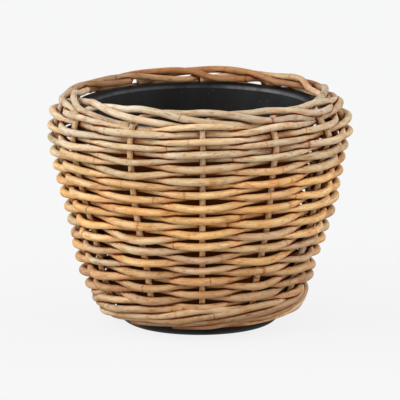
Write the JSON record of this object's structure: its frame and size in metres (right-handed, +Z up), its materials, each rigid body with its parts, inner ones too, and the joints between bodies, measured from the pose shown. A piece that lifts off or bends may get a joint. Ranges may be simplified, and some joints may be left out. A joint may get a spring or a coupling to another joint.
{
  "type": "rattan planter",
  "caption": "Round woven cane planter with a bellied wall, a rolled border and foot ring, and a black plastic inner pot.",
  "frame": {"origin": "middle of the pot's base, on the floor", "axes": "+Z up along the planter's axis, -Y towards the front, +X to the right seen from the front"},
  "size_m": [0.3381, 0.3379, 0.2632],
  "materials": {
    "pot": "satin moulded black",
    "stake_cane": "natural peeled cane, satin",
    "weaver_cane": "natural peeled cane, satin"
  },
  "bodies": {
    "root": {"inner_pot": "pot", "stake_01": "stake_cane", "stake_02": "stake_cane", "stake_03": "stake_cane", "stake_04": "stake_cane", "stake_05": "stake_cane", "stake_06": "stake_cane", "stake_07": "stake_cane", "stake_08": "stake_cane", "stake_09": "stake_cane", "stake_10": "stake_cane", "stake_11": "stake_cane", "stake_12": "stake_cane", "weaver_a01": "weaver_cane", "weaver_a02": "weaver_cane", "weaver_a03": "weaver_cane", "weaver_a04": "weaver_cane", "weaver_a05": "weaver_cane", "weaver_a06": "weaver_cane", "weaver_a07": "weaver_cane", "weaver_a08": "weaver_cane", "weaver_a09": "weaver_cane", "weaver_a10": "weaver_cane", "weaver_b01": "weaver_cane", "weaver_b02": "weaver_cane", "weaver_b03": "weaver_cane", "weaver_b04": "weaver_cane", "weaver_b05": "weaver_cane", "weaver_b06": "weaver_cane", "weaver_b07": "weaver_cane", "weaver_b08": "weaver_cane", "weaver_b09": "weaver_cane", "weaver_b10": "weaver_cane"}
  },
  "joints": []
}
